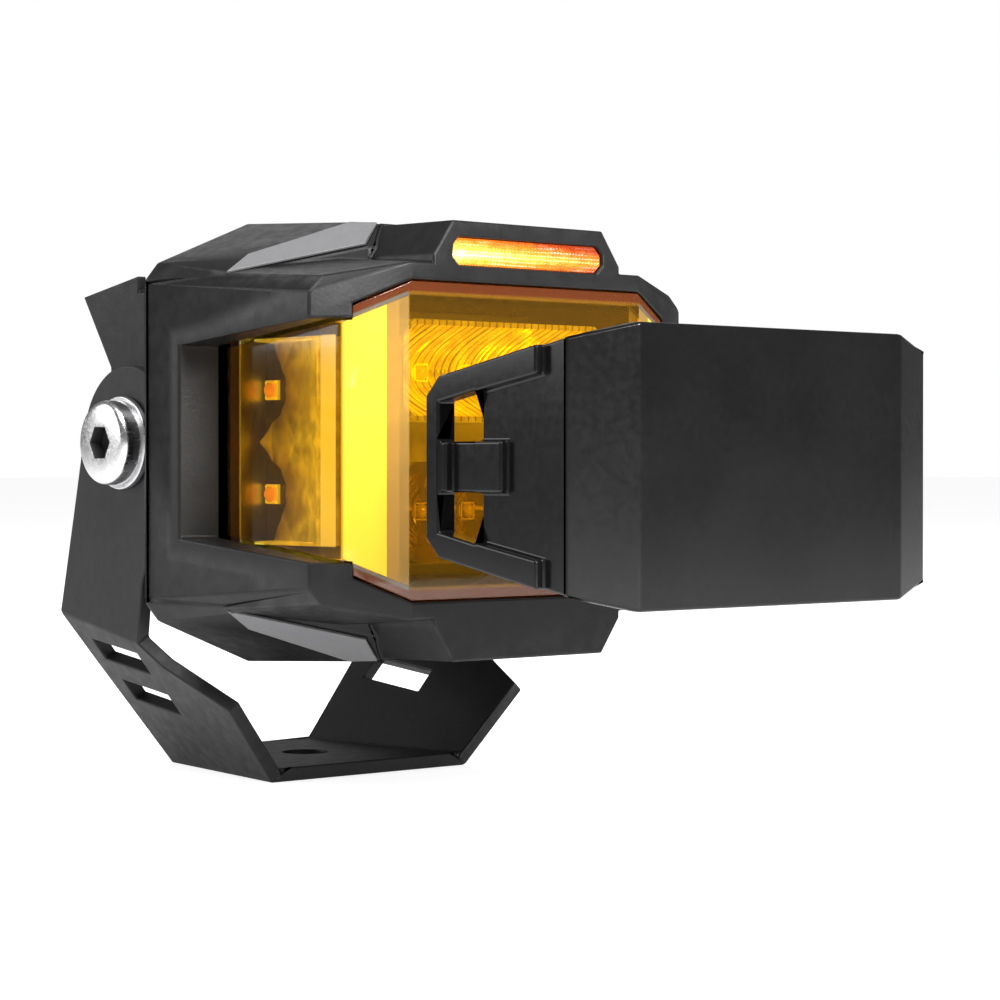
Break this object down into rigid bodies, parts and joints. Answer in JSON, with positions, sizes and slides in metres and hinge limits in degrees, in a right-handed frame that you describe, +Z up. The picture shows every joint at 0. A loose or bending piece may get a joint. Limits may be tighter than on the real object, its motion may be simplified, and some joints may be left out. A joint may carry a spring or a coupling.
{
  "type": "fog light",
  "caption": "Side-shooting LED fog light: finned housing and wrapped amber lens, tilting on a folded steel bracket, with a push-on black lens cover pulled off in front.",
  "frame": {"origin": "axis of the foot's bolt hole, at the underside of the foot", "axes": "+Z up through the foot hole, X along the tilt axis, the light shines along -Y"},
  "size_m": [0.092, 0.1423, 0.0991],
  "materials": {
    "bracket_steel": "matt black powder coat",
    "bolt_steel": "bright stainless",
    "washer_steel": "satin stainless",
    "nylon": "matt",
    "cast_black": "die cast, matt black powder coat",
    "red_silicone": "matt silicone",
    "screw_black": "black oxide",
    "vent_grey": "matt",
    "gland_black": "satin nylon",
    "trim_silver": "satin silver",
    "amber_lens": "clear amber polycarbonate",
    "black_gasket": "matt",
    "heat_pad_grey": "matt silicone",
    "raw_aluminium": "milled",
    "dark_board": "black solder mask",
    "led_amber": "clear dome over yellow phosphor",
    "reflector": "vacuum-metallised plastic",
    "marker_glow": "orange prism lens, lit",
    "led_orange": "clear dome",
    "green_board": "green solder mask",
    "component_black": "moulded epoxy",
    "gloss_black": "gloss black ABS"
  },
  "bodies": {
    "bracket": {"foot_bracket": "bracket_steel"},
    "lamp": {"pivot_bolts": "bolt_steel", "bolt_washers": "washer_steel", "pivot_spacers": "nylon", "rear_housing": "cast_black", "housing_gasket": "red_silicone", "housing_screws": "screw_black", "breather_vent": "vent_grey", "cable_gland": "gland_black", "gland_nut": "gland_black", "front_bezel": "cast_black", "corner_trims": "trim_silver", "lens": "amber_lens", "lens_gasket": "black_gasket", "heat_pad": "heat_pad_grey", "core_plate": "raw_aluminium", "led_carrier": "raw_aluminium", "upper_led_board": "dark_board", "lower_led_board": "dark_board", "upper_leds": "led_amber", "lower_leds": "led_amber", "upper_reflector": "reflector", "lower_reflector": "reflector", "side_board_left": "dark_board", "side_board_right": "dark_board", "side_leds_left": "led_amber", "side_leds_right": "led_amber", "side_reflector_left": "reflector", "side_reflector_right": "reflector", "marker_lens": "marker_glow", "marker_board": "dark_board", "marker_leds": "led_orange", "driver_board": "green_board", "driver_parts": "component_black"},
    "cover": {"lens_cover": "gloss_black"}
  },
  "joints": [
    {"name": "tilt", "type": "hinge", "parent": "bracket", "child": "lamp", "pos_m": [0, 0, 0.0603], "axis": [1, 0, 0], "range_deg": [-35, 10]},
    {"name": "cover_pull", "type": "slide", "parent": "lamp", "child": "cover", "axis": [0, 0.9969, 0.0788], "range_m": [0, 0.0545]}
  ]
}
